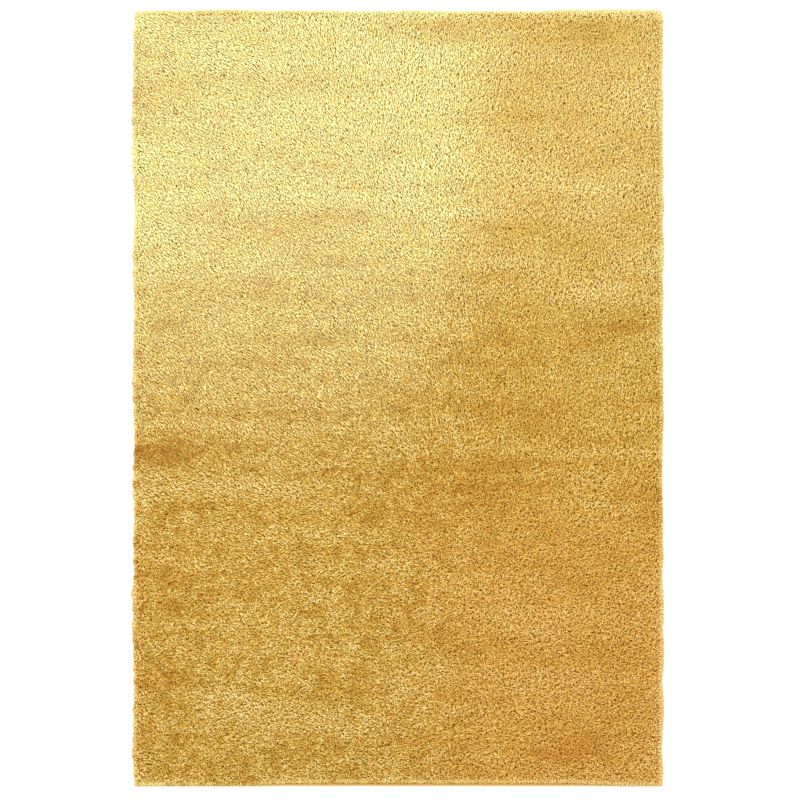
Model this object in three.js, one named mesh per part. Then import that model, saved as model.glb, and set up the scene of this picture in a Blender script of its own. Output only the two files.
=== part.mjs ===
import * as THREE from "three";

// A rectangular shag rug lying flat with its pile up, in millimetres, with X across it, Y along it and +Z up.
// The pile cloth is woven in one, a firm ground with long cut pile standing in it. The ground's four edges
// are overcast in yarn, a strip to a side. At the near end, towards -Y, the binding shows past the pile,
// and on the other three sides the pile falls over it.

// Driving dimensions
const BOUND_WIDTH = 1500;
const BOUND_LENGTH = 2209;
const PILE_REACH = 8;
const PILE_TOP = 32;
const BINDING_WIDTH = 8;
const BINDING_HEIGHT = 6;
const LIP = 1.5;
const GAP = 0.3;
const FAR_CORNER_RADIUS = 14;
const NEAR_CORNER_RADIUS = 5;

// The bound edges are as far short of the far limit as the pile falls past them there.
const BOUND_CENTRE_Y = -PILE_REACH / 2;
const TONGUE = BINDING_HEIGHT - 2 * (LIP + GAP);

const PILE_COLOUR = 0xd7b360;
const BINDING_COLOUR = 0xe3b458;

// Along the middle of the near end the pile stands back from the binding's outer edge.
const STAND_BACK = { from: -280, to: 490, ease: 190, depth: 5.5 };

// The rim's section, from the underside up over the thin edge that the binding wraps, then out over
// the binding and round to the crown. past: beyond the bound edge. splay: share of the pile's own reach
// that is added to past. up: above the floor.
const RIM = [
  { past: -BINDING_WIDTH - GAP, splay: 0, up: 0 },
  { past: -BINDING_WIDTH - GAP, splay: 0, up: LIP + GAP },
  { past: -LIP - GAP, splay: 0, up: LIP + GAP },
  { past: -LIP - GAP, splay: 0, up: LIP + GAP + TONGUE },
  { past: -BINDING_WIDTH - GAP, splay: 0, up: LIP + GAP + TONGUE },
  { past: -BINDING_WIDTH - GAP, splay: 0, up: BINDING_HEIGHT + GAP },
  { past: -2, splay: 0.6, up: BINDING_HEIGHT + GAP + 1 },
  { past: 0, splay: 1, up: 15 },
  { past: -3, splay: 1, up: 24 },
  { past: -9, splay: 1, up: 28.5 },
];
const FIRST_PILE_ROW = 6;
const CROWN_EASE = 9;

// How the pile's edge wanders along each side. pitch: one full wave. swing: half its height. start: in turns.
const EDGE_WAVES = {
  left: [
    { pitch: 131, swing: 1.1, start: 0.15 },
    { pitch: 412, swing: 0.9, start: 0.6 },
  ],
  right: [
    { pitch: 157, swing: 0.8, start: 0.4 },
    { pitch: 538, swing: 1.0, start: 0.1 },
  ],
  far: [
    { pitch: 173, swing: 0.9, start: 0.7 },
    { pitch: 466, swing: 1.2, start: 0.25 },
  ],
  near: [{ pitch: 229, swing: 0.5, start: 0.5 }],
};

// The soft rise and fall of the pile's top. turn: the wave's direction in degrees from X.
const TOP_WAVES = [
  { pitch: 205, turn: 38, swing: 0.5, start: 0.2 },
  { pitch: 330, turn: 104, swing: 0.6, start: 0.75 },
  { pitch: 610, turn: 62, swing: 0.5, start: 0.4 },
];

// Grid lines over the pile cloth: these far in from each edge, then evenly spaced.
const EDGE_LINES = [0, 7, 14, 45];
const LINES_ACROSS = 28;
const LINES_ALONG = 42;

function sumOfWaves(waves, distance) {
  return waves.reduce(
    (sum, wave) => sum + wave.swing * Math.sin(2 * Math.PI * (distance / wave.pitch + wave.start)),
    0
  );
}

// The signed place of one grid line, counted from the low edge of a span that is 2 * half long.
function linePlace(index, count, half) {
  const fromEdge = Math.min(index, count - index);
  const lastEdgeLine = EDGE_LINES.length - 1;
  const share = (fromEdge - lastEdgeLine) / (count / 2 - lastEdgeLine);
  const inset =
    fromEdge <= lastEdgeLine
      ? EDGE_LINES[fromEdge]
      : THREE.MathUtils.lerp(EDGE_LINES[lastEdgeLine], half, share);
  return (index < count / 2 ? -1 : 1) * (half - inset);
}

// How far the pile reaches past the bound edge at a place along each side.
function sideReach(y, towardsRight) {
  return PILE_REACH + sumOfWaves(towardsRight ? EDGE_WAVES.right : EDGE_WAVES.left, y);
}

function endReach(x, towardsFar) {
  if (towardsFar) {
    return PILE_REACH + sumOfWaves(EDGE_WAVES.far, x);
  }
  const { from, to, ease, depth } = STAND_BACK;
  const shown =
    THREE.MathUtils.smoothstep(x, from - ease, from) - THREE.MathUtils.smoothstep(x, to, to + ease);
  return -depth * shown - 0.5 + sumOfWaves(EDGE_WAVES.near, x);
}

// Draws a corner's grid in from the square to a quarter circle. The insets are from the two edges.
function roundedInsets(fromSide, fromEnd, radius) {
  if (fromSide >= radius || fromEnd >= radius) {
    return [fromSide, fromEnd];
  }
  const across = 1 - fromSide / radius;
  const along = 1 - fromEnd / radius;
  return [
    radius * (1 - across * Math.sqrt(1 - (along * along) / 2)),
    radius * (1 - along * Math.sqrt(1 - (across * across) / 2)),
  ];
}

function topHeight(x, y, inset) {
  const crownEdge = RIM[RIM.length - 1].up;
  const rise = 1 - Math.exp(-inset / CROWN_EASE);
  const wander = TOP_WAVES.reduce((sum, wave) => {
    const turn = THREE.MathUtils.degToRad(wave.turn);
    return sum + sumOfWaves([wave], x * Math.cos(turn) + y * Math.sin(turn));
  }, 0);
  return THREE.MathUtils.lerp(crownEdge, PILE_TOP - 1.5 + wander, rise);
}

// The pile cloth is a box whose walls follow the rim's section and whose top rises and falls.
function pileClothGeometry() {
  const rows = RIM.length - 1;
  const box = new THREE.BoxGeometry(1, 1, 1, LINES_ACROSS, LINES_ALONG, rows);
  const places = box.attributes.position;
  for (let i = 0; i < places.count; i += 1) {
    const column = Math.round((places.getX(i) + 0.5) * LINES_ACROSS);
    const line = Math.round((places.getY(i) + 0.5) * LINES_ALONG);
    const row = Math.round((places.getZ(i) + 0.5) * rows);
    const towardsRight = column >= LINES_ACROSS / 2;
    const towardsFar = line >= LINES_ALONG / 2;
    const plainX = linePlace(column, LINES_ACROSS, BOUND_WIDTH / 2);
    const plainY = linePlace(line, LINES_ALONG, BOUND_LENGTH / 2);
    const { past, splay, up } = RIM[row];
    const halfAcross = BOUND_WIDTH / 2 + past + splay * sideReach(plainY, towardsRight);
    const halfAlong = BOUND_LENGTH / 2 + past + splay * endReach(plainX, towardsFar);
    let fromSide = halfAcross - Math.abs(linePlace(column, LINES_ACROSS, halfAcross));
    let fromEnd = halfAlong - Math.abs(linePlace(line, LINES_ALONG, halfAlong));
    const inset = Math.min(fromSide, fromEnd);
    if (row >= FIRST_PILE_ROW) {
      const radius = towardsFar ? FAR_CORNER_RADIUS : NEAR_CORNER_RADIUS;
      [fromSide, fromEnd] = roundedInsets(fromSide, fromEnd, radius);
    }
    const x = (towardsRight ? 1 : -1) * (halfAcross - fromSide);
    const y = (towardsFar ? 1 : -1) * (halfAlong - fromEnd);
    places.setXYZ(i, x, y + BOUND_CENTRE_Y, row === rows ? topHeight(x, y, inset) : up);
  }
  box.computeVertexNormals();
  return box;
}

// One side's overcasting: a rounded bead of yarn with a slot that takes the ground's thin edge. Its section
// runs inwards along X from the outer edge, and its length along Y. Its ends are mitred.
function bindingGeometry(length) {
  const round = BINDING_HEIGHT / 2;
  const slotLow = LIP;
  const slotHigh = BINDING_HEIGHT - LIP;
  const section = new THREE.Shape();
  section.moveTo(BINDING_WIDTH, 0);
  section.lineTo(BINDING_WIDTH, slotLow);
  section.lineTo(LIP, slotLow);
  section.lineTo(LIP, slotHigh);
  section.lineTo(BINDING_WIDTH, slotHigh);
  section.lineTo(BINDING_WIDTH, BINDING_HEIGHT);
  section.lineTo(round, BINDING_HEIGHT);
  section.absarc(round, round, round, Math.PI / 2, (3 * Math.PI) / 2, false);
  section.closePath();
  const strip = new THREE.ExtrudeGeometry(section, { depth: length, bevelEnabled: false, curveSegments: 6 });
  const places = strip.attributes.position;
  const mitreGap = (GAP / 2) * Math.SQRT2;
  for (let i = 0; i < places.count; i += 1) {
    const cut = places.getX(i) + mitreGap;
    const z = places.getZ(i) === 0 ? cut : length - cut;
    places.setZ(i, z - length / 2);
  }
  strip.rotateX(Math.PI / 2);
  strip.computeVertexNormals();
  return strip;
}

// Where each strip's outer edge lies. turn: in quarter turns from the left side's strip.
const STRIPS = [
  { name: "binding_left", length: BOUND_LENGTH, x: -BOUND_WIDTH / 2, y: 0, turn: 0 },
  { name: "binding_near", length: BOUND_WIDTH, x: 0, y: -BOUND_LENGTH / 2, turn: 1 },
  { name: "binding_right", length: BOUND_LENGTH, x: BOUND_WIDTH / 2, y: 0, turn: 2 },
  { name: "binding_far", length: BOUND_WIDTH, x: 0, y: BOUND_LENGTH / 2, turn: 3 },
];

const rug = new THREE.Group();

const pileCloth = new THREE.Mesh(
  pileClothGeometry(),
  new THREE.MeshStandardMaterial({ color: PILE_COLOUR, roughness: 0.95, metalness: 0 })
);
pileCloth.name = "pile_cloth";
rug.add(pileCloth);

const binding = new THREE.Group();
binding.position.y = BOUND_CENTRE_Y;
for (const { name, length, x, y, turn } of STRIPS) {
  const strip = new THREE.Mesh(
    bindingGeometry(length),
    new THREE.MeshStandardMaterial({ color: BINDING_COLOUR, roughness: 0.85, metalness: 0 })
  );
  strip.name = name;
  strip.position.set(x, y, 0);
  strip.rotation.z = (turn * Math.PI) / 2;
  binding.add(strip);
}
rug.add(binding);

export default rug;
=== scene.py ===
import bmesh
import bpy
import numpy as np
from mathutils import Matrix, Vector


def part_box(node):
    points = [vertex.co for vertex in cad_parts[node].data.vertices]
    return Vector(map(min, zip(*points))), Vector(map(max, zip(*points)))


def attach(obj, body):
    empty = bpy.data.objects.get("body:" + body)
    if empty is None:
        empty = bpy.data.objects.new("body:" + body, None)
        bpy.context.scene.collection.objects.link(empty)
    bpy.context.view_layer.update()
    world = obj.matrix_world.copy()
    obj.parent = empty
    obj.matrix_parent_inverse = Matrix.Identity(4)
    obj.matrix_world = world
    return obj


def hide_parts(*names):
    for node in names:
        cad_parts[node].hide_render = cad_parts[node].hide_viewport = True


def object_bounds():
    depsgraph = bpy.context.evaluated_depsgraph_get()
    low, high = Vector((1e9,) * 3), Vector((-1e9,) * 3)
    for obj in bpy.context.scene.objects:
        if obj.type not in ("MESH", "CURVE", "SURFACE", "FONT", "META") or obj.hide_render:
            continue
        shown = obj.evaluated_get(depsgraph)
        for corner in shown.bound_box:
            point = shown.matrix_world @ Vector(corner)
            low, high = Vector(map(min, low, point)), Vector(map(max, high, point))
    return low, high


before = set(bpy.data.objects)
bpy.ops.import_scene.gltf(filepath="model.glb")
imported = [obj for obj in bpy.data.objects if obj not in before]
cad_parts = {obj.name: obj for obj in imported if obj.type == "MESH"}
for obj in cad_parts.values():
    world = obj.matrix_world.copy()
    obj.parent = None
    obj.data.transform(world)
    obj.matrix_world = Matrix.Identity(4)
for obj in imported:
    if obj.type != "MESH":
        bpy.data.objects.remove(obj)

cad_low, cad_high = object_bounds()

# Ground cloth: the firm woven sheet that the pile stands in, with a jute-coloured weft that shows below. It
# lies flat on the floor, its corners rounded, and its thin margin steps up into the binding whipped over
# its edge. The margin's edge is as far inside the bound edge as its underside is above the floor.
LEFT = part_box("binding_left")[0][0]
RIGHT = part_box("binding_right")[1][0]
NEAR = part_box("binding_near")[0][1]
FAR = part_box("binding_far")[1][1]
BINDING_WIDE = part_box("binding_left")[1][0] - LEFT
BINDING_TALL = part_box("binding_left")[1][2]

# CLEAR is the gap between two pieces that meet, and LIP the thickness of the binding round the margin.
CLEAR = 0.0003
LIP = 0.0015
GROUND_TOP = 0.0042
MARGIN_IN = LIP + CLEAR
FIELD_IN = BINDING_WIDE + CLEAR
MARGIN_ROUND = 0.004
JUTE = "#C9AE7E"
JUTE_SHADE = "#8E7448"

# Each pitch is of two threads, one over and one under. The slubs are the thick places in the threads.
WEFT_PITCH = 0.0052
WARP_PITCH = 0.0078
SLUBS_PER_METRE = 180.0
SLUB_RELIEF = 1.6
DIP, CREST = -0.4, 1.8
WEAVE_RELIEF = 0.0008


def linear(colour):
    """An sRGB hex colour as the linear numbers that a shader takes, the last one for full cover."""
    parts = [int(colour[i : i + 2], 16) / 255 for i in (1, 3, 5)]
    return [p / 12.92 if p <= 0.04045 else ((p + 0.055) / 1.055) ** 2.4 for p in parts] + [1.0]


def add(tree, kind, settings=None, sockets=None):
    """Adds a node. Settings are its own properties. Sockets go by name or number, to a value or a link."""
    made = tree.nodes.new(kind)
    for name, value in (settings or {}).items():
        setattr(made, name, value)
    for name, value in (sockets or {}).items():
        if isinstance(value, bpy.types.NodeSocket):
            tree.links.new(value, made.inputs[name])
        else:
            made.inputs[name].default_value = value
    return made.outputs


def finish_of(name, roughness, sheen):
    """A new material with its shader, and the shader's tree."""
    material = bpy.data.materials.new(name)
    material.use_nodes = True
    shader = material.node_tree.nodes["Principled BSDF"]
    shader.inputs["Roughness"].default_value = roughness
    shader.inputs["Sheen Weight"].default_value = sheen
    shader.inputs["Sheen Roughness"].default_value = 0.5
    return material, shader, material.node_tree


def mesh_of(shape, name):
    """The shape as a mesh, its faces turned outward."""
    bmesh.ops.recalc_face_normals(shape, faces=shape.faces)
    mesh = bpy.data.meshes.new(name)
    shape.to_mesh(mesh)
    shape.free()
    return mesh


def piece(mesh, material, node):
    """A finished piece: an object at the origin that rides on the rug and stands for its CAD node."""
    made = bpy.data.objects.new(mesh.name, mesh)
    bpy.context.scene.collection.objects.link(made)
    mesh.materials.append(material)
    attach(made, "root")
    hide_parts(node)
    return made


shape = bmesh.new()
bmesh.ops.create_cube(shape, size=1.0)
field = Vector((RIGHT - LEFT - 2 * FIELD_IN, FAR - NEAR - 2 * FIELD_IN, GROUND_TOP))
bmesh.ops.scale(shape, verts=shape.verts, vec=field)
bmesh.ops.translate(shape, verts=shape.verts, vec=((LEFT + RIGHT) / 2, (NEAR + FAR) / 2, GROUND_TOP / 2))
bmesh.ops.bisect_plane(
    shape, geom=[*shape.verts, *shape.edges, *shape.faces], plane_co=(0, 0, MARGIN_IN), plane_no=(0, 0, 1)
)
upper_sides = [f for f in shape.faces if abs(f.normal.z) < 0.5 and f.calc_center_median().z > MARGIN_IN]
pushed = bmesh.ops.extrude_face_region(shape, geom=upper_sides)["geom"]
margin_corners = {v for v in pushed if isinstance(v, bmesh.types.BMVert)}
for corner in margin_corners:
    corner.co.x = LEFT + MARGIN_IN if corner.co.x < 0 else RIGHT - MARGIN_IN
    corner.co.y = NEAR + MARGIN_IN if corner.co.y < 0 else FAR - MARGIN_IN
upright = [
    e for e in shape.edges if set(e.verts) <= margin_corners and e.verts[0].co.xy == e.verts[1].co.xy
]
bmesh.ops.bevel(
    shape, geom=upright, offset=MARGIN_ROUND, affect="EDGES", segments=3, profile=0.5, material=-1
)
ground_mesh = mesh_of(shape, "ground_cloth")

# Jute-coloured weave: matt, dry threads over and under each other, with painted shade where they dip. A
# colour mix takes its two colours on sockets 6 and 7, and gives the result on output 2.
weave, shader, tree = finish_of("woven jute ground", roughness=0.9, sheen=0.1)
place = add(tree, "ShaderNodeTexCoord")["Object"]
axes = add(tree, "ShaderNodeSeparateXYZ", None, {"Vector": place})
threads = []
for axis, pitch in (("X", WARP_PITCH), ("Y", WEFT_PITCH)):
    turn = add(tree, "ShaderNodeMath", {"operation": "MULTIPLY"}, {0: axes[axis], 1: 2 * np.pi / pitch})
    threads.append(add(tree, "ShaderNodeMath", {"operation": "SINE"}, {0: turn[0]})[0])
over = add(tree, "ShaderNodeMath", {"operation": "MULTIPLY"}, {0: threads[0], 1: threads[1]})[0]
slub = add(tree, "ShaderNodeTexNoise", None, {"Vector": place, "Scale": SLUBS_PER_METRE, "Detail": 3.0})[0]
height = add(tree, "ShaderNodeMath", {"operation": "MULTIPLY_ADD"}, {0: slub, 1: SLUB_RELIEF, 2: over})[0]
shade = add(tree, "ShaderNodeMapRange", None, {"Value": height, "From Min": DIP, "From Max": CREST})[0]
tint = add(
    tree, "ShaderNodeMix", {"data_type": "RGBA"}, {"Factor": shade, 6: linear(JUTE_SHADE), 7: linear(JUTE)}
)[2]
bump = add(tree, "ShaderNodeBump", None, {"Strength": 0.6, "Distance": WEAVE_RELIEF, "Height": height})[0]
tree.links.new(tint, shader.inputs["Base Color"])
tree.links.new(bump, shader.inputs["Normal"])

ground = piece(ground_mesh, weave, "pile_cloth")

# Pile bed: the foot of the pile, where the yarn stands so tight that it reads as one mat, coloured with
# painted shadow and lighter flecks of painted light. It is seated on the ground and sinks towards the rug's
# edges. It laps over the binding on three sides, and stops short of it at the near end.
BED_TOP = 0.0165
BED_SINK = 0.0045
BED_SINK_IN = 0.018
BED_IN = 0.0005
BED_IN_NEAR = 0.0095
BED_CORNER_IN = 0.006
BED_CELL = 0.025
BED_PALER_FAR_RIGHT = 0.45
# The bed's colours: painted shadow, flecks of painted light, and a cream of painted sheen over the flecks.
BED_PAINTED_SHADOW = "#703A00"
BED_PAINTED_LIGHT = "#D0A640"
BED_PAINTED_SHEEN = "#E8D074"

# The flecks are about as wide as the yarn ends are drawn. Up to DARK_TO the mat is in full painted shadow.
FLECK = 0.0045
DARK_TO, LIGHT_FROM = 0.36, 0.56

# A soft wander over the rug. strong: the most that it adds or takes away. across and along: how far apart
# its hills and hollows are. seed: of its random numbers.
BED_SWELL = [{"strong": 0.0012, "across": 0.03, "along": 0.03, "seed": 5}]

# A change over the rug. low and high: where it starts and is done, in metres from the rug's middle. first
# and last: what it goes from and to, if that isn't from 0 to 1.
RIGHT_PART = {"low": 0.0, "high": 0.4}
FAR_PART = {"low": 0.1, "high": 0.7}

# The painted sheen, a cream laid over the yarn where the nap catches the light, comes in along the rug,
# and more of it on the left than on the right of a line that lies further right towards the far end. It
# fades from one to the other.
SHEEN_LEFT = {"low": -0.36, "high": 0.70, "last": 1.0}
SHEEN_RIGHT = {"low": -0.17, "high": 1.01, "last": 0.23}
SHEEN_LINE = {"low": -0.1, "high": 0.55, "first": 0.09, "last": 0.22}
SHEEN_FADE = 0.16


def drift(x, y, wander):
    """The wander at each place, the sum of its rows. Its grid of random knots reaches past the rug's box on
    every side, as some of the yarns do."""
    total = 0.0
    for row in wander:
        at_x, at_y = (x - cad_low.x) / row["across"] + 1, (y - cad_low.y) / row["along"] + 1
        rows = int((cad_high.y - cad_low.y) / row["along"]) + 4
        columns = int((cad_high.x - cad_low.x) / row["across"]) + 4
        knots = np.random.default_rng(row["seed"]).uniform(-1, 1, (rows, columns))
        i, j = np.floor(at_y).astype(int), np.floor(at_x).astype(int)
        u, v = (t * t * (3 - 2 * t) for t in (at_x - j, at_y - i))
        low = knots[i, j] * (1 - u) + knots[i, j + 1] * u
        high = knots[i + 1, j] * (1 - u) + knots[i + 1, j + 1] * u
        total = total + row["strong"] * (low * (1 - v) + high * v)
    return total


def step(value, low, high, first=0.0, last=1.0):
    """Eases from first to last as the value goes from low to high."""
    t = np.clip((value - low) / (high - low), 0, 1)
    return first + (last - first) * (t * t * (3 - 2 * t))


def inset(x, y):
    """How far inside the bound edge a place lies, on the side that it is nearest to."""
    return np.minimum.reduce([x - LEFT, RIGHT - x, y - NEAR, FAR - y])


def bed_height(x, y):
    """The height of the bed's top above the floor."""
    return BED_TOP - BED_SINK * (1 - step(inset(x, y), 0, BED_SINK_IN)) + drift(x, y, BED_SWELL)


def painted_sheen_at(x, y):
    """How much painted sheen shows, a cream where the nap catches the light: most at the far left, and
    none near.
    """
    line = step(y, **SHEEN_LINE)
    right = step(x, line - SHEEN_FADE, line + SHEEN_FADE)
    here = {name: value + (SHEEN_RIGHT[name] - value) * right for name, value in SHEEN_LEFT.items()}
    return step(y, **here)


shape = bmesh.new()
bed_wide, bed_long = RIGHT - LEFT - 2 * BED_IN, FAR - NEAR - BED_IN - BED_IN_NEAR
bmesh.ops.create_grid(
    shape, x_segments=round(bed_wide / BED_CELL), y_segments=round(bed_long / BED_CELL), size=0.5
)
bmesh.ops.scale(shape, verts=shape.verts, vec=(bed_wide, bed_long, 1))
bed_middle = ((LEFT + RIGHT) / 2, (NEAR + BED_IN_NEAR + FAR - BED_IN) / 2, 0)
bmesh.ops.translate(shape, verts=shape.verts, vec=bed_middle)
for vert in shape.verts:
    vert.co.z = BINDING_TALL + 2 * CLEAR if vert.is_boundary else GROUND_TOP + CLEAR
    if len(vert.link_edges) == 2:
        vert.co.xy -= Vector((np.sign(vert.co.x), np.sign(vert.co.y))) * BED_CORNER_IN
top = bmesh.ops.extrude_face_region(shape, geom=shape.faces[:])["geom"]
for vert in (v for v in top if isinstance(v, bmesh.types.BMVert)):
    vert.co.z = float(bed_height(*np.array(vert.co.xy)))

bed_mesh = mesh_of(shape, "pile_bed")
bed_x, bed_y, _ = np.array([v.co for v in bed_mesh.vertices]).T
# The bed's flecks take the cream of painted sheen, and more of it at the far right.
far_right = step(bed_x, **RIGHT_PART) * step(bed_y, **FAR_PART)
bed_painted_sheen = np.clip(painted_sheen_at(bed_x, bed_y) + BED_PALER_FAR_RIGHT * far_right, 0, 1)
painted_sheen_layer = bed_mesh.attributes.new("painted_sheen", "FLOAT", "POINT")
painted_sheen_layer.data.foreach_set("value", bed_painted_sheen.astype(np.float32))

# Packed polypropylene yarn in shadow: matt, its dark colour painted shadow, with lighter flecks of painted
# light, a yarn's own thickness, where a deeper end catches some light. A cream of painted sheen lies over
# the flecks.
shadowed, shader, tree = finish_of("packed yarn in shadow", roughness=1.0, sheen=0.0)
shader.inputs["Specular IOR Level"].default_value = 0.0
place = add(tree, "ShaderNodeTexCoord")["Object"]
flecks = add(tree, "ShaderNodeTexNoise", None, {"Vector": place, "Scale": 1 / FLECK, "Detail": 2.0})[0]
shade = add(
    tree, "ShaderNodeMapRange", None, {"Value": flecks, "From Min": DARK_TO, "From Max": LIGHT_FROM}
)[0]
sheen_share = add(tree, "ShaderNodeAttribute", {"attribute_name": "painted_sheen"})["Fac"]
light = add(
    tree,
    "ShaderNodeMix",
    {"data_type": "RGBA"},
    {"Factor": sheen_share, 6: linear(BED_PAINTED_LIGHT), 7: linear(BED_PAINTED_SHEEN)},
)[2]
tint = add(
    tree, "ShaderNodeMix", {"data_type": "RGBA"}, {"Factor": shade, 6: linear(BED_PAINTED_SHADOW), 7: light}
)[2]
tree.links.new(tint, shader.inputs["Base Color"])

pile = [piece(bed_mesh, shadowed, "pile_cloth")]

# Pile: long cut yarn, twisted from two plies and heat-set, woven into the ground in rows and leaning with
# the nap. The ends are drawn a little thicker and fewer than real, each with three sides, and made as four
# pieces of like size, one after the other from the near end.
YARN_THICK = 0.0035
THICK_VARIES = (0.8, 1.2)
YARN_GAP = 0.0051
YARN_SUNK = 0.004
TIP_TOP = 0.0305
LEAN = 0.0158
LEAN_VARIES = (0.6, 1.4)
FIRST_ROW_IN = 0.0115
EDGE_ROW_IN = 0.003

# Where the pile has been brushed over: its tips sit lower there, and its yarns get painted shade, or painted
# light where turned is below 0. x and y: from the rug's middle. wide and long: across and along the rug, to
# where the mark has faded to a third. turned: how far, up to about 1.
BRUSHED = [
    {"x": 0.15, "y": 1.037, "wide": 0.20, "long": 0.065, "turned": 1.1},
    {"x": -0.06, "y": 1.043, "wide": 0.16, "long": 0.055, "turned": 0.5},
    {"x": 0.57, "y": 1.030, "wide": 0.21, "long": 0.070, "turned": 0.6},
    {"x": 0.36, "y": 0.800, "wide": 0.30, "long": 0.050, "turned": 0.6},
    {"x": -0.47, "y": 0.570, "wide": 0.58, "long": 0.045, "turned": -0.8},
    {"x": 0.55, "y": 0.594, "wide": 0.18, "long": 0.042, "turned": -0.6},
    {"x": 0.29, "y": 0.466, "wide": 0.18, "long": 0.065, "turned": 0.35},
    {"x": 0.50, "y": 0.430, "wide": 0.18, "long": 0.080, "turned": 0.5},
    {"x": -0.45, "y": 0.466, "wide": 0.43, "long": 0.080, "turned": 0.35},
    {"x": 0.55, "y": 0.314, "wide": 0.17, "long": 0.065, "turned": -0.6},
    {"x": 0.62, "y": 0.195, "wide": 0.24, "long": 0.055, "turned": 0.6},
    {"x": 0.31, "y": 0.103, "wide": 0.22, "long": 0.060, "turned": 0.6},
    {"x": -0.66, "y": -0.160, "wide": 0.24, "long": 0.088, "turned": 1.2},
    {"x": -0.47, "y": -0.150, "wide": 0.20, "long": 0.070, "turned": 0.5},
    {"x": 0.33, "y": -0.191, "wide": 0.36, "long": 0.042, "turned": 0.6},
    {"x": -0.49, "y": -0.268, "wide": 0.60, "long": 0.065, "turned": -1.0},
    {"x": -0.38, "y": -0.520, "wide": 0.22, "long": 0.060, "turned": -0.6},
    {"x": 0.18, "y": -0.310, "wide": 0.40, "long": 0.260, "turned": 0.4},
    {"x": 0.58, "y": -0.305, "wide": 0.20, "long": 0.057, "turned": -0.5},
    {"x": -0.61, "y": -0.583, "wide": 0.09, "long": 0.042, "turned": 1.0},
    {"x": -0.10, "y": -0.600, "wide": 0.06, "long": 0.460, "turned": 0.35},
    {"x": 0.70, "y": -0.720, "wide": 0.18, "long": 0.055, "turned": -0.6},
    {"x": -0.67, "y": -0.795, "wide": 0.16, "long": 0.105, "turned": 1.0},
    {"x": -0.48, "y": -0.863, "wide": 0.17, "long": 0.070, "turned": -0.5},
    {"x": 0.48, "y": -1.005, "wide": 0.26, "long": 0.075, "turned": 0.9},
]

# The marks' edges are ragged both ways, and a fainter mottling of three sizes, with the same lowered tips
# and painted shade and light, lies over the whole rug.
RAGGED_ACROSS = [{"strong": 0.025, "across": 0.08, "along": 0.03, "seed": 11}]
RAGGED_ALONG = [{"strong": 0.012, "across": 0.06, "along": 0.04, "seed": 12}]
MOTTLING = [
    {"strong": 0.28, "across": 0.30, "along": 0.10, "seed": 13},
    {"strong": 0.29, "across": 0.13, "along": 0.045, "seed": 14},
    {"strong": 0.28, "across": 0.50, "along": 0.020, "seed": 15},
]

# The nap's heading, in degrees from X. In the far part it swings from the left side's to the right side's
# about a line that lies further left towards the far end. Near, it runs almost straight across the rug, and
# turns off that at the right edge. Between the two parts some yarns lie one way and some the other.
SWINGS_AT = {"low": 0.35, "high": 1.0, "first": 0.22, "last": -0.22}
SWING_HALF = 0.35
FAR_LEFT_NAP, FAR_RIGHT_NAP = -43, -103
NEAR_LEFT_NAP = {"low": -0.5, "high": 0.1, "first": -9, "last": -1}
NEAR_RIGHT_NAP = {"low": 0.45, "high": 0.80, "first": 0, "last": 36}
FAR_NAP_SHARE = {"low": -0.60, "high": 0.05}
NAP_WANDER = [{"strong": 12, "across": 0.16, "along": 0.10, "seed": 21}]

# How good the order is that the yarns lie in, from 0 to 1. They stray a few degrees in full order, and many
# more without it.
LEFT_PART = {"low": -0.20, "high": 0.40, "first": 1.0, "last": 0.0}
ORDER_LEFT = {"low": -0.70, "high": -0.15, "first": 0.50, "last": 0.97}
ORDER_RIGHT = {"low": 0.2, "high": 0.8, "first": 0.38, "last": 0.58}
STRAY_LEAST, STRAY_MORE = 5, 70


def brushed_shade_at(x, y):
    """How far the pile is brushed over at each place, which lowers its tips and gives its yarns painted
    shade, or painted light where it is below 0.
    """
    across = x + drift(x, y, RAGGED_ACROSS)
    along = y + drift(x, y, RAGGED_ALONG)
    total = drift(x, y, MOTTLING)
    for mark in BRUSHED:
        off_x = (across - mark["x"]) / (mark["wide"] / 2)
        off_y = (along - mark["y"]) / (mark["long"] / 2)
        total = total + mark["turned"] * np.exp(-(off_x**2 + off_y**2))
    return total


def nap_at(x, y, draw):
    """Which way each yarn leans, in radians from X."""
    swings_at = step(y, **SWINGS_AT)
    far = step(x, swings_at - SWING_HALF, swings_at + SWING_HALF, FAR_LEFT_NAP, FAR_RIGHT_NAP)
    near = step(x, **NEAR_LEFT_NAP) + step(x, **NEAR_RIGHT_NAP)
    heading = np.where(draw.uniform(0, 1, x.shape) < step(y, **FAR_NAP_SHARE), far, near)
    left = step(x, **LEFT_PART)
    order = left * step(y, **ORDER_LEFT) + (1 - left) * step(y, **ORDER_RIGHT)
    stray = (STRAY_LEAST + STRAY_MORE * (1 - order)) * draw.normal(0, 1, x.shape)
    return np.radians(heading + drift(x, y, NAP_WANDER) + stray)


# The yarns' tones. own: a yarn's place in its own mix of shades, from deep at 0 to pale at 1. amber and
# painted sheen: how much of each lies over that; the painted sheen is a cream that stands in for the light
# that the nap catches.
OWN_MIDDLE = 0.56
OWN_SHADED_ENDS = 0.17
OWN_VARIES_LESS_RIGHT, OWN_VARIES_LESS_FAR_RIGHT = 0.5, 0.3
OWN_WANDER = [
    {"strong": 0.18, "across": 0.026, "along": 0.020, "seed": 31},
    {"strong": 0.34, "across": 0.012, "along": 0.009, "seed": 32},
]
AMBER_ACROSS = {"low": -0.2, "high": 0.45, "first": 0.05, "last": 1.0}
AMBER_ALONG = {"low": -0.65, "high": 0.05, "first": 1.0, "last": 0.04}
AMBER_WANDER = [{"strong": 0.42, "across": 0.010, "along": 0.008, "seed": 33}]
# The painted sheen at most, and how much less of it there is where the pile is brushed and at the rims.
SHEEN_MOST, SHEEN_LESS_BRUSHED = 0.93, 0.40
SHEEN_LESS_RIM, SHEEN_LESS_FAR_RIM = 0.36, 0.22

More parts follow.
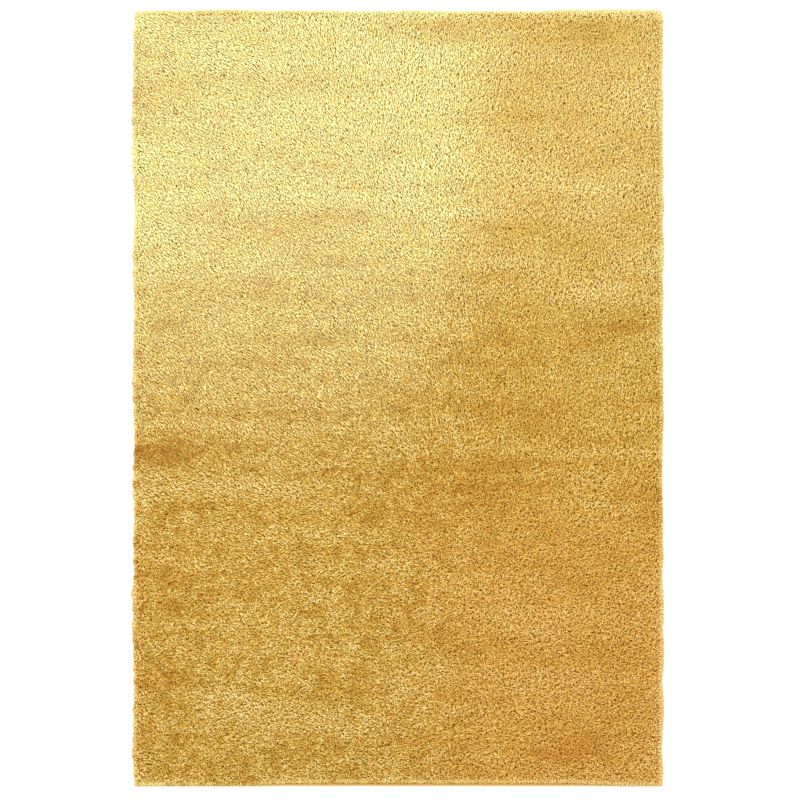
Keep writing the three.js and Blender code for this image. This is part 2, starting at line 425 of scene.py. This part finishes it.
# The rims, by how far they reach in from the bound edge. The low rim goes round the near part only.
RIM = {"low": 0.004, "high": 0.024, "first": 1.0, "last": 0.0}
FAR_RIM = {"low": 0.008, "high": 0.030, "first": 1.0, "last": 0.0}
NEAR_RIM = {"low": 0.004, "high": 0.022, "first": 1.0, "last": 0.0}
LOW_RIM = {"low": 0.008, "high": 0.038, "first": 1.0, "last": 0.0}
LOW_PART = {"low": -0.75, "high": -0.35, "first": 1.0, "last": 0.0}

# What else moves the tones, and how much it adds to each where it is in full. The brushed and shaded-end
# rows paint shade, darker and more amber; the far-right and rim rows paint light, paler.
TONE_SHIFTS = [
    {"by": "brushed_shade", "own": -0.41, "amber": 0.30},
    {"by": "shaded_ends", "own": 0.0, "amber": 0.20},
    {"by": "far_right", "own": 0.17, "amber": 0.0},
    {"by": "far_rim", "own": 0.32, "amber": -0.50},
    {"by": "near_rim", "own": 0.04, "amber": -0.12},
    {"by": "near_right_rim", "own": 0.08, "amber": 0.0},
    {"by": "low_rim", "own": 0.12, "amber": 0.0},
    {"by": "low_right_rim", "own": 0.12, "amber": 0.0},
]


def tones_at(x, y, draw):
    """Each yarn's tones. A few yarns at random get painted shade, darker and more amber."""
    right = step(x, **RIGHT_PART)
    near_rim = step(y - NEAR, **NEAR_RIM)
    low_rim = step(inset(x, y), **LOW_RIM) * step(y, **LOW_PART)
    share = {
        "brushed_shade": brushed_shade_at(x, y),
        "shaded_ends": draw.exponential(1, x.shape) - 1,
        "far_right": right * step(y, **FAR_PART),
        "far_rim": step(FAR - y, **FAR_RIM),
        "near_rim": near_rim,
        "near_right_rim": right * near_rim,
        "low_rim": low_rim,
        "low_right_rim": right * low_rim,
    }
    varies = 1 - OWN_VARIES_LESS_RIGHT * right - OWN_VARIES_LESS_FAR_RIGHT * share["far_right"]
    own = OWN_MIDDLE + (drift(x, y, OWN_WANDER) - OWN_SHADED_ENDS * share["shaded_ends"]) * varies
    amber = step(x, **AMBER_ACROSS) * step(y, **AMBER_ALONG) + drift(x, y, AMBER_WANDER)
    for shift in TONE_SHIFTS:
        own = own + shift["own"] * share[shift["by"]]
        amber = amber + shift["amber"] * share[shift["by"]]
    less_at_rim = (SHEEN_LESS_RIM + SHEEN_LESS_FAR_RIM * share["far_rim"]) * step(inset(x, y), **RIM)
    painted_sheen = painted_sheen_at(x, y) * (SHEEN_MOST - SHEEN_LESS_BRUSHED * share["brushed_shade"]) * (1 - less_at_rim)
    tones = {"own": own, "painted_sheen": painted_sheen, "amber": amber}
    return {name: np.clip(values, 0, 1) for name, values in tones.items()}


# A yarn starts upright and bends over towards its tip. In the UV map, the margin is the share of its cell
# that it leaves clear on each side.
LEANS_LATE, RISES_EARLY = 2, 1.7
UV_MARGIN = 0.1


def yarn_form(upper, shares, widths):
    """A three-sided yarn end to be copied, closed to a point at both ends, with an upper ring where it has
    one. Shares are how far along each level lies, and widths how thick it is there."""
    shape = bmesh.new()
    bmesh.ops.create_cone(shape, cap_ends=True, segments=3, radius1=1.0, radius2=upper, depth=1.0)
    bmesh.ops.remove_doubles(shape, verts=shape.verts, dist=0.001)
    shape.normal_update()
    caps = [f for f in shape.faces if abs(f.normal.z) > 0.9]
    bmesh.ops.poke(shape, faces=caps, offset=1.0)
    bmesh.ops.recalc_face_normals(shape, faces=shape.faces)
    shape.verts.index_update()
    places = np.array([v.co for v in shape.verts])
    start = next(np.arctan2(v.co.y, v.co.x) for v in shape.verts if v.co.xy.length > 0.5)

    # How far round the yarn each corner of a face lies, in turns. A point takes the middle of its face.
    around = []
    for face in shape.faces:
        middle = face.calc_center_median()
        side = (np.arctan2(middle.y, middle.x) - start) / (2 * np.pi) % 1
        for vert in face.verts:
            turn = (np.arctan2(vert.co.y, vert.co.x) - start) / (2 * np.pi) - side
            around.append(side + ((turn + 0.5) % 1 - 0.5 if vert.co.xy.length > 0.5 else 0.0))
    level = (places[:, 2] - places[:, 2].min()).round().astype(int)
    form = {
        "share": np.array(shares)[level],
        "width": np.array(widths)[level],
        "angle": np.arctan2(places[:, 1], places[:, 0]),
        "faces": [[v.index for v in f.verts] for f in shape.faces],
        "around": np.array(around),
    }
    shape.free()
    return form


def plant(name, form, root, lean, rise, thick, draw, tones):
    """One piece of many yarns. Lean is how far each tip lies to the side of its root, and rise how far
    above. Every yarn has a cell of its own in the first UV map, and is unrolled over the second."""
    count, corners = len(root), len(form["share"])

    # The way each yarn runs, and the two ways across it. The small shift gives an upright one a side too.
    run = np.concatenate([lean, rise[:, None]], 1)
    run /= np.linalg.norm(run, axis=1)[:, None]
    side = np.stack([run[:, 1], -run[:, 0], np.zeros(count)], 1) + [1e-6, 0, 0]
    side /= np.linalg.norm(side, axis=1)[:, None]
    up = np.cross(side, run)
    sideways, upward = form["share"] ** LEANS_LATE, 1 - (1 - form["share"]) ** RISES_EARLY
    centre = np.concatenate([lean[:, None] * sideways[:, None], (rise[:, None] * upward)[:, :, None]], 2)
    angle = form["angle"] + draw.uniform(0, 2 * np.pi, count)[:, None]
    spread = thick[:, None] / 2 * form["width"]
    places = root[:, None] + centre + (spread * np.cos(angle))[:, :, None] * side[:, None]
    places += (spread * np.sin(angle))[:, :, None] * up[:, None]
    sizes = [len(f) for f in form["faces"]]
    turn = np.concatenate(form["faces"])
    loops = (turn + corners * np.arange(count)[:, None]).ravel()
    starts = (np.concatenate([[0], np.cumsum(sizes)[:-1]]) + len(turn) * np.arange(count)[:, None]).ravel()
    mesh = bpy.data.meshes.new(name)
    mesh.vertices.add(count * corners)
    mesh.vertices.foreach_set("co", places.astype(np.float32).ravel())
    mesh.loops.add(len(loops))
    mesh.loops.foreach_set("vertex_index", loops.astype(np.int32))
    mesh.polygons.add(len(starts))
    mesh.polygons.foreach_set("loop_start", starts.astype(np.int32))
    mesh.update(calc_edges=True)
    mesh.shade_smooth()
    wrap = np.stack([form["around"], form["share"][turn]], 1)
    cells = int(np.ceil(np.sqrt(count)))
    cell = np.stack([np.arange(count) % cells, np.arange(count) // cells], 1)
    own_cell = (cell[:, None] + UV_MARGIN + (1 - 2 * UV_MARGIN) * wrap) / cells
    for layer, places_on_it in (("OFBake", own_cell), ("ply", np.tile(wrap, (count, 1)))):
        made = mesh.uv_layers.new(name=layer)
        made.data.foreach_set("uv", places_on_it.astype(np.float32).ravel())
    for attribute, values in tones.items():
        made = mesh.attributes.new(attribute, "FLOAT", "POINT")
        made.data.foreach_set("value", np.repeat(values, corners).astype(np.float32))
    return piece(mesh, twisted, "pile_cloth")


# Twisted heat-set polypropylene yarn: a soft dry sheen on two plies that wind round each other, every end
# its own shade, from a cream of painted sheen where the nap catches the light to amber, with painted shade
# in the grooves between the plies and deepening towards its root. The twist is drawn slacker than real, so
# that its grooves show.
YARN_DEEP = "#AA7014"
YARN_GOLD = "#DABB5C"
YARN_PALE = "#EDD992"
YARN_PAINTED_SHEEN = "#F5F9BA"
YARN_AMBER = "#EDA35A"
YARN_GLINT = "#F2CE6C"
# Painted shade towards the yarn's root, and in the grooves between its plies.
ROOT_PAINTED_SHADE = "#EEBC4C"
TIP_TINT = "#FFFFFF"
PAINTED_SHEEN_COVER, AMBER_COVER = 0.92, 0.42
PLIES = 2
TWIST_TURNS = 3.0
PLY_SHADE = 0.93
PLY_ROUND_FROM = 0.2
ROOT_PAINTED_SHADE_TO = 0.75
PLY_RELIEF = 0.0004

twisted, shader, tree = finish_of("twisted heat-set yarn", roughness=0.62, sheen=0.04)
shader.inputs["Specular IOR Level"].default_value = 0.1
shader.inputs["Specular Tint"].default_value = linear(YARN_GLINT)
shader.inputs["Sheen Tint"].default_value = linear(YARN_GLINT)
shader.inputs["IOR"].default_value = 1.49
own, painted_sheen, amber = (
    add(tree, "ShaderNodeAttribute", {"attribute_name": name})["Fac"] for name in ("own", "painted_sheen", "amber")
)
wrap = add(tree, "ShaderNodeUVMap", {"uv_map": "ply"})["UV"]
wrap = add(tree, "ShaderNodeSeparateXYZ", None, {"Vector": wrap})
mixed = add(tree, "ShaderNodeValToRGB", None, {"Fac": own})[0]
stops = mixed.node.color_ramp.elements
stops[0].color, stops[1].color = linear(YARN_DEEP), linear(YARN_PALE)
stops.new(0.5).color = linear(YARN_GOLD)
# Over the yarn's own shade go the cream of painted sheen and the amber.
for share, colour, cover in ((painted_sheen, YARN_PAINTED_SHEEN, PAINTED_SHEEN_COVER), (amber, YARN_AMBER, AMBER_COVER)):
    share = add(tree, "ShaderNodeMath", {"operation": "MULTIPLY"}, {0: share, 1: cover})[0]
    mixed = add(
        tree, "ShaderNodeMix", {"data_type": "RGBA"}, {"Factor": share, 6: mixed, 7: linear(colour)}
    )[2]
turns = add(
    tree, "ShaderNodeMath", {"operation": "MULTIPLY_ADD"}, {0: wrap["Y"], 1: TWIST_TURNS, 2: wrap["X"]}
)[0]
turns = add(tree, "ShaderNodeMath", {"operation": "MULTIPLY"}, {0: turns, 1: 2 * np.pi * PLIES})[0]
plies = add(tree, "ShaderNodeMath", {"operation": "SINE"}, {0: turns})[0]
# Painted shade: darker in the grooves between the plies, and towards the yarn's root.
groove = add(
    tree,
    "ShaderNodeMapRange",
    None,
    {"Value": plies, "From Min": -1.0, "From Max": PLY_ROUND_FROM, "To Min": PLY_SHADE},
)[0]
depth = add(tree, "ShaderNodeMapRange", None, {"Value": wrap["Y"], "From Max": ROOT_PAINTED_SHADE_TO})[0]
depth = add(
    tree,
    "ShaderNodeMix",
    {"data_type": "RGBA"},
    {"Factor": depth, 6: linear(ROOT_PAINTED_SHADE), 7: linear(TIP_TINT)},
)[2]
shade = add(tree, "ShaderNodeVectorMath", {"operation": "SCALE"}, {0: depth, "Scale": groove})[0]
tint = add(
    tree,
    "ShaderNodeMix",
    {"data_type": "RGBA", "blend_type": "MULTIPLY"},
    {"Factor": 1.0, 6: mixed, 7: shade},
)[2]
bump = add(tree, "ShaderNodeBump", None, {"Strength": 0.5, "Distance": PLY_RELIEF, "Height": plies})[0]
tree.links.new(tint, shader.inputs["Base Color"])
tree.links.new(bump, shader.inputs["Normal"])

# How far the pile stands back from the near edge, how far it reaches past the others and how that wanders,
# and how round its corners are.
STAND_BACK_FROM, STAND_BACK_TO, STAND_BACK_EASE = -0.28, 0.49, 0.19
STAND_BACK = 0.0074
NEAR_IN = 0.0005
SPLAY = 0.0063
SPLAY_LESS_FAR = 0.0028
SPLAY_LESS_OVER = 0.05
SCALLOP_PITCH = 0.043
SCALLOP = 0.0017
SCALLOP_WANDER = [{"strong": 2, "across": 0.3, "along": 0.12, "seed": 41}]
SPLAY_WANDER = [
    {"strong": 0.0036, "across": 0.05, "along": 0.05, "seed": 42},
    {"strong": 0.0036, "across": 0.13, "along": 0.13, "seed": 43},
]
FAR_ROUND = 0.021
NEAR_ROUND = 0.010


def stand_back(x):
    """How far inside the near bound edge the pile stops."""
    shown = step(x, STAND_BACK_FROM - STAND_BACK_EASE, STAND_BACK_FROM)
    shown = shown - step(x, STAND_BACK_TO, STAND_BACK_TO + STAND_BACK_EASE)
    return NEAR_IN + STAND_BACK * shown


def round_to(x, y, reach, stops_at):
    """Each place measured from the middle of its corner's arc: the way out to it, across and along, and how
    far inside the outline it lies."""
    radius = np.where(y > 0, FAR_ROUND, NEAR_ROUND)
    out_x = x - np.clip(x, LEFT - reach + radius, RIGHT + reach - radius)
    out_y = y - np.clip(y, stops_at + radius, FAR + reach - radius)
    off = np.maximum(np.hypot(out_x, out_y), 1e-9)
    return out_x / off, out_y / off, radius - off


def splay_at(x, y):
    """How far past the bound edge the pile reaches on the other three sides, in scallops on the left."""
    scallop = np.sin(2 * np.pi * y / SCALLOP_PITCH + drift(x, y, SCALLOP_WANDER)) * (x < 0)
    reach = SPLAY - SPLAY_LESS_FAR * step(y, FAR - SPLAY_LESS_OVER, FAR) + SCALLOP * scallop
    return reach + drift(x, y, SPLAY_WANDER)


# The tips are spread evenly, out to the outline. Each root is back along the nap, but always in the
# ground: near an edge it is up to ROOTS_IN further in, so that the yarn there stands up or falls outward.
ROOTS_IN = 0.018
EDGE_DROP = 0.009
EDGE_DROP_IN = 0.016
EDGE_SHORT = 0.004
NEAR_EDGE_SHORT = 0.003
TIP_STRAY = 0.0012
TIP_SWELL = [{"strong": 0.0010, "across": 0.05, "along": 0.05, "seed": 23}]
BRUSHED_LOWER = 0.0012
FIELDS = 4
YARN_SEED = 2118

draw = np.random.default_rng(YARN_SEED)
columns = round((RIGHT - LEFT + 2 * SPLAY) / YARN_GAP)
rows = round((FAR - NEAR + SPLAY) / YARN_GAP)
tip_x, tip_y = np.meshgrid(
    np.linspace(LEFT - SPLAY, RIGHT + SPLAY, columns), np.linspace(NEAR, FAR + SPLAY, rows)
)
tip_x = (tip_x + draw.uniform(-0.5, 0.5, tip_x.shape) * YARN_GAP).ravel()
tip_y = (tip_y + draw.uniform(-0.5, 0.5, tip_y.shape) * YARN_GAP).ravel()
reach = splay_at(tip_x, tip_y) - draw.uniform(0, EDGE_SHORT, len(tip_x))
stops_at = NEAR + stand_back(tip_x) + draw.uniform(0, NEAR_EDGE_SHORT, len(tip_x))
within = round_to(tip_x, tip_y, reach, stops_at)[2] > 0
tip_x, tip_y, reach, stops_at = (values[within] for values in (tip_x, tip_y, reach, stops_at))
count = len(tip_x)
edge_in = np.minimum.reduce(
    [tip_x - LEFT + reach, RIGHT + reach - tip_x, tip_y - stops_at, FAR + reach - tip_y]
)

heading = nap_at(tip_x, tip_y, draw)
length = LEAN * draw.uniform(*LEAN_VARIES, count)
inward = ROOTS_IN * draw.uniform(0, 1, (2, count))
root_x = tip_x - length * np.cos(heading)
root_x = np.clip(root_x, LEFT + EDGE_ROW_IN + inward[0], RIGHT - EDGE_ROW_IN - inward[0])
root_y = tip_y - length * np.sin(heading)
root_y = np.clip(root_y, NEAR + FIRST_ROW_IN + inward[1], FAR - EDGE_ROW_IN - inward[1])
tip_z = TIP_TOP - BRUSHED_LOWER * brushed_shade_at(tip_x, tip_y) + drift(tip_x, tip_y, TIP_SWELL)
tip_z += draw.normal(0, TIP_STRAY, count) - EDGE_DROP * (1 - step(edge_in, 0, EDGE_DROP_IN))
root_z = bed_height(root_x, root_y) - YARN_SUNK
thick = YARN_THICK * draw.uniform(*THICK_VARIES, count)
tones = tones_at(tip_x, tip_y, draw)
field_form = yarn_form(upper=0.0, shares=[0.0, 0.55, 1.0], widths=[0.0, 1.0, 0.0])
for number in range(FIELDS):
    part = slice(number * count // FIELDS, (number + 1) * count // FIELDS)
    root = np.stack([root_x, root_y, root_z], 1)[part]
    lean = np.stack([tip_x - root_x, tip_y - root_y], 1)[part]
    own_tones = {name: values[part] for name, values in tones.items()}
    name = f"pile_field_{number + 1}"
    pile.append(plant(name, field_form, root, lean, (tip_z - root_z)[part], thick[part], draw, own_tones))

# Pile rim: the outermost rows of the same yarn, which have nothing beside them to hold them up. They fall
# outward over the binding in layers, the lowest nearly flat, and fan round the corners. At the near end they
# stand back.
RIM_GAP = 0.0042
RIM_UNEVEN = 0.4
RIM_PAST_OUTLINE = 0.0012
RIM_REACH_STRAY = 0.0008
RIM_FAN = 0.003
RIM_ROOT_STRAY = 0.0006
RIM_TIP_STRAY = 0.0022
RIM_THICK_VARIES = (0.95, 1.35)
NEAR_ROOT_IN = 0.006
NEAR_TIP_SHORT = 0.001
# The rim's yarns get painted light: drawn paler, more so on the right, with less of the cream and amber.
RIM_PALER = 0.02
RIM_PALER_RIGHT = 0.03
RIM_SHEEN = 0.72
RIM_AMBER = 0.60

# root_in: inward from the bound edge. tip_short: how far short of the full splay. up: above the floor.
RIM_LAYERS = [
    {"root_in": 0.0045, "root_up": 0.0080, "tip_short": 0.0025, "tip_up": 0.0085},
    {"root_in": 0.0050, "root_up": 0.0095, "tip_short": 0.0003, "tip_up": 0.0130},
    {"root_in": 0.0065, "root_up": 0.0110, "tip_short": 0.0000, "tip_up": 0.0180},
    {"root_in": 0.0085, "root_up": 0.0120, "tip_short": 0.0020, "tip_up": 0.0225},
    {"root_in": 0.0110, "root_up": 0.0130, "tip_short": 0.0055, "tip_up": 0.0260},
]


def held_in(place):
    """The places, with those that lie past the outline drawn in to it."""
    x, y = place.T
    out_x, out_y, inside = round_to(x, y, splay_at(x, y) + RIM_PAST_OUTLINE, NEAR + stand_back(x))
    over = np.minimum(inside, 0)
    return np.stack([x + out_x * over, y + out_y * over], 1)


def edge_walk():
    """Places round the bound edge, its corners rounded, and the way straight out at each."""
    across = np.linspace(LEFT, RIGHT, round((RIGHT - LEFT) / RIM_GAP), endpoint=False)
    along = np.linspace(NEAR, FAR, round((FAR - NEAR) / RIM_GAP), endpoint=False)
    x = np.concatenate([across, np.full(len(along), RIGHT), -across, np.full(len(along), LEFT)])
    y = np.concatenate([np.full(len(across), NEAR), along, np.full(len(across), FAR), NEAR + FAR - along])
    x = x + draw.uniform(-RIM_UNEVEN, RIM_UNEVEN, len(x)) * RIM_GAP
    y = y + draw.uniform(-RIM_UNEVEN, RIM_UNEVEN, len(y)) * RIM_GAP
    round_by = np.maximum(np.where(y > 0, FAR_ROUND, NEAR_ROUND) - SPLAY, RIM_GAP)
    inner_x = np.clip(x, LEFT + round_by, RIGHT - round_by)
    inner_y = np.clip(y, NEAR + round_by, FAR - round_by)
    out = np.stack([x - inner_x, y - inner_y], 1)
    out /= np.linalg.norm(out, axis=1)[:, None]
    return np.stack([inner_x, inner_y], 1) + out * round_by[:, None], out


# near: how far the way out at a place is towards the near end, 1 being straight. past and back: how far the
# tip and the root are from the bound edge.
roots, leans, rises, edges = [], [], [], []
for layer in RIM_LAYERS:
    edge, out = edge_walk()
    near = np.clip(-out[:, 1], 0, 1) ** 2
    past = splay_at(*edge.T) * (1 - near) - stand_back(edge[:, 0]) * near
    back = np.maximum(0, layer["root_in"] + (stand_back(edge[:, 0]) + NEAR_ROOT_IN) * near)
    past = past - layer["tip_short"] + draw.normal(0, RIM_REACH_STRAY, len(edge)) - NEAR_TIP_SHORT * near
    sideways = np.stack([-out[:, 1], out[:, 0]], 1) * draw.normal(0, RIM_FAN, (len(edge), 1))
    root = edge - out * back[:, None]
    tip = held_in(edge + out * past[:, None] + sideways)
    root_up = layer["root_up"] + draw.normal(0, RIM_ROOT_STRAY, len(edge))
    tip_up = layer["tip_up"] + draw.normal(0, RIM_TIP_STRAY, len(edge))
    roots.append(np.concatenate([root, root_up[:, None]], 1))
    leans.append(tip - root)
    rises.append(tip_up - root_up)
    edges.append(edge)
roots, leans, rises, edges = (np.concatenate(parts) for parts in (roots, leans, rises, edges))
rim_tones = tones_at(*edges.T, draw)
# Painted light on the rim: paler, more so on the right.
paler = RIM_PALER + RIM_PALER_RIGHT * step(edges[:, 0], **RIGHT_PART)
rim_tones["own"] = np.clip(rim_tones["own"] + paler, 0, 1)
rim_tones["painted_sheen"] *= RIM_SHEEN
rim_tones["amber"] *= RIM_AMBER
rim_thick = YARN_THICK * draw.uniform(*RIM_THICK_VARIES, len(roots))
rim_form = yarn_form(upper=0.9, shares=[0.0, 0.3, 0.72, 1.0], widths=[0.0, 1.0, 0.85, 0.0])
pile.append(plant("pile_rim", rim_form, roots, leans, rises, rim_thick, draw, rim_tones))

# Binding: yarn whipped over the ground's thin edge, wrap beside wrap, one strip to a side with its ends cut
# to a mitre and its corners rounded. It lies on the floor, and only the near strip shows past the pile. The
# wraps are drawn coarser than real.
WRAP = 0.0050
VALLEY = 0.0005
SLANT = 0.0035
SLANT_FADES = 0.02
CORNER_ROUND = 0.007
BEAD = BINDING_TALL / 2

# The strip's section, round from the slot's upper corner. inward: from the bound edge. up: above the floor.
# whipped: how much of the wraps' relief shows there.
SECTION = [
    {"inward": BINDING_WIDE, "up": BINDING_TALL - LIP, "whipped": 0.0},
    {"inward": BINDING_WIDE, "up": BINDING_TALL, "whipped": 1.0},
    {"inward": 1.8 * BEAD, "up": BINDING_TALL, "whipped": 1.0},
    {"inward": BEAD, "up": BINDING_TALL, "whipped": 1.0},
    {"inward": 0.30 * BEAD, "up": 1.71 * BEAD, "whipped": 1.0},
    {"inward": 0.0, "up": BEAD, "whipped": 1.0},
    {"inward": 0.30 * BEAD, "up": 0.29 * BEAD, "whipped": 1.0},
    {"inward": BEAD, "up": 0.0, "whipped": 1.0},
    {"inward": 1.8 * BEAD, "up": 0.0, "whipped": 1.0},
    {"inward": BINDING_WIDE, "up": 0.0, "whipped": 1.0},
    {"inward": BINDING_WIDE, "up": LIP, "whipped": 0.0},
    {"inward": LIP, "up": LIP, "whipped": 0.0},
    {"inward": LIP, "up": BINDING_TALL - LIP, "whipped": 0.0},
]

# Overcast polypropylene yarn: firmer than the pile and a little glossier, with painted shade where its wraps
# meet, and its plies at a slant.
BINDING_YARN = "#CCAE70"
BINDING_SHADE = "#C09850"
PLIES_ROUND = 12.0
WRAP_ROUND_FROM = 0.3

whipping, shader, tree = finish_of("overcast polypropylene yarn", roughness=0.6, sheen=0.2)
wrap = add(tree, "ShaderNodeUVMap", {"uv_map": "wraps"})["UV"]
wrap = add(tree, "ShaderNodeSeparateXYZ", None, {"Vector": wrap})
crest = add(tree, "ShaderNodeMath", {"operation": "MULTIPLY"}, {0: wrap["Y"], 1: 2 * np.pi})[0]
crest = add(tree, "ShaderNodeMath", {"operation": "COSINE"}, {0: crest})[0]
shade = add(
    tree, "ShaderNodeMapRange", None, {"Value": crest, "From Min": -1.0, "From Max": WRAP_ROUND_FROM}
)[0]
tint = add(
    tree,
    "ShaderNodeMix",
    {"data_type": "RGBA"},
    {"Factor": shade, 6: linear(BINDING_SHADE), 7: linear(BINDING_YARN)},
)[2]
turns = add(
    tree, "ShaderNodeMath", {"operation": "MULTIPLY_ADD"}, {0: wrap["X"], 1: PLIES_ROUND, 2: wrap["Y"]}
)[0]
turns = add(tree, "ShaderNodeMath", {"operation": "MULTIPLY"}, {0: turns, 1: 2 * np.pi})[0]
plies = add(tree, "ShaderNodeMath", {"operation": "SINE"}, {0: turns})[0]
bump = add(tree, "ShaderNodeBump", None, {"Strength": 0.5, "Distance": PLY_RELIEF, "Height": plies})[0]
tree.links.new(tint, shader.inputs["Base Color"])
tree.links.new(bump, shader.inputs["Normal"])

# Each strip starts as a flat grid, with the section's points one way and two rows to a wrap the other: a
# crest and a valley. At the rug's corners its outer part is drawn in from the square to a round.
middle = np.array([(LEFT + RIGHT) / 2, (NEAR + FAR) / 2])
half = np.array([(RIGHT - LEFT) / 2, (FAR - NEAR) / 2])
for side, inward in (("left", (1, 0)), ("near", (0, 1)), ("right", (-1, 0)), ("far", (0, -1))):
    inward = np.array(inward)
    along = np.array([-inward[1], inward[0]])
    to_edge, half_long = abs(inward) @ half, abs(along) @ half
    wraps = round(2 * half_long / WRAP)
    shape = bmesh.new()
    shape.loops.layers.uv.new("wraps")
    bmesh.ops.create_grid(shape, x_segments=len(SECTION), y_segments=2 * wraps, size=1.0, calc_uvs=True)
    for vert in shape.verts:
        around, row = round((vert.co.x + 1) / 2 * len(SECTION)), round((vert.co.y + 1) * wraps)
        point = SECTION[around % len(SECTION)]
        out = Vector((min(point["inward"] - BEAD, 0), point["up"] - BEAD)).normalized()
        sunk = VALLEY * point["whipped"] * (row % 2)
        deep, up = point["inward"] - sunk * out.x, point["up"] - sunk * out.y
        cut = half_long - point["inward"] - CLEAR / np.sqrt(2)
        place = vert.co.y * cut
        slant = SLANT * (around / len(SECTION) - 0.5) * point["whipped"]
        place += slant * step(cut - abs(place), 0, SLANT_FADES)
        from_side = max(0.0, 1 - deep / CORNER_ROUND)
        from_end = max(0.0, 1 - (half_long - abs(place)) / CORNER_ROUND)
        deep += CORNER_ROUND * from_side * (1 - np.sqrt(1 - from_end**2 / 2))
        place -= np.sign(place) * CORNER_ROUND * from_end * (1 - np.sqrt(1 - from_side**2 / 2))
        vert.co = (*(middle + inward * (deep - to_edge) + along * place), up)
    bmesh.ops.remove_doubles(shape, verts=shape.verts, dist=0.00001)
    bmesh.ops.holes_fill(shape, edges=[e for e in shape.edges if e.is_boundary], sides=0)
    wound = shape.loops.layers.uv["wraps"]
    for face in shape.faces:
        for loop in face.loops:
            loop[wound].uv.y *= wraps
    strip = mesh_of(shape, f"overcast_{side}")
    strip.shade_smooth()
    piece(strip, whipping, f"binding_{side}")

# Floor, lights and camera: a white floor and soft studio light, with one broad lamp overhead, a little
# towards the far left corner. The camera looks straight down from high up, and shows the pile's solid edges,
# at half its height, at the pixels where they lie in the photograph.
PHOTO_PIXELS = 800
RUG_LEFT, RUG_RIGHT, RUG_TOP, RUG_BOTTOM = 133.02, 662.72, 10.22, 785.20
LENS, SENSOR = 135.0, 36.0
SOLID_EDGE = 0.0034
PILE_MIDDLE = 0.02
SEEN_TO = 100.0
FLOOR_HALF = 30.0
FLOOR_LOWER = 0.0005
FLOOR_WHITE = "#F4F3F1"
FLOOR_GLOW = 0.05
LIGHT_WHITE = "#FFFFFF"
SKY_STRENGTH = 1.34
LAMP_PLACE = (-0.5, 0.8, 4.6)
LAMP_WIDE = 3.0
LAMP_WATTS = 190.0

shape = bmesh.new()
bmesh.ops.create_grid(shape, x_segments=1, y_segments=1, size=FLOOR_HALF)
floor_mesh = mesh_of(shape, "floor")
floor = bpy.data.objects.new("floor", floor_mesh)
bpy.context.scene.collection.objects.link(floor)

# Lit white floor: matt, with a faint glow of its own, so that it stays plain and white around the rug.
white, shader, tree = finish_of("lit white studio floor", roughness=0.9, sheen=0.0)
shader.inputs["Base Color"].default_value = linear(FLOOR_WHITE)
shader.inputs["Emission Color"].default_value = linear(LIGHT_WHITE)
shader.inputs["Emission Strength"].default_value = FLOOR_GLOW
floor_mesh.materials.append(white)
floor.location.z = -FLOOR_LOWER

world = bpy.data.worlds.new("studio")
bpy.context.scene.world = world
world.use_nodes = True
world.node_tree.nodes["Background"].inputs["Color"].default_value = linear(LIGHT_WHITE)
world.node_tree.nodes["Background"].inputs["Strength"].default_value = SKY_STRENGTH

lamp_data = bpy.data.lights.new("key", "AREA")
lamp_data.shape = "DISK"
lamp_data.size = LAMP_WIDE
lamp_data.energy = LAMP_WATTS
lamp = bpy.data.objects.new("key", lamp_data)
bpy.context.scene.collection.objects.link(lamp)
lamp.location = LAMP_PLACE
lamp.rotation_euler = (-lamp.location).to_track_quat("-Z", "Y").to_euler()

pixels_per_metre = (RUG_RIGHT - RUG_LEFT) / (RIGHT - LEFT + 2 * SOLID_EDGE)
view = bpy.data.cameras.new("camera")
view.lens, view.sensor_width = LENS, SENSOR
view.clip_end = SEEN_TO
camera = bpy.data.objects.new("camera", view)
bpy.context.scene.collection.objects.link(camera)
camera.location = (
    (PHOTO_PIXELS - RUG_LEFT - RUG_RIGHT) / 2 / pixels_per_metre,
    (RUG_TOP + RUG_BOTTOM - PHOTO_PIXELS) / 2 / pixels_per_metre,
    PHOTO_PIXELS / pixels_per_metre * LENS / SENSOR + PILE_MIDDLE,
)
bpy.context.scene.camera = camera
bpy.context.scene.view_settings.view_transform = "Standard"
bpy.context.scene.cycles.use_denoising = False
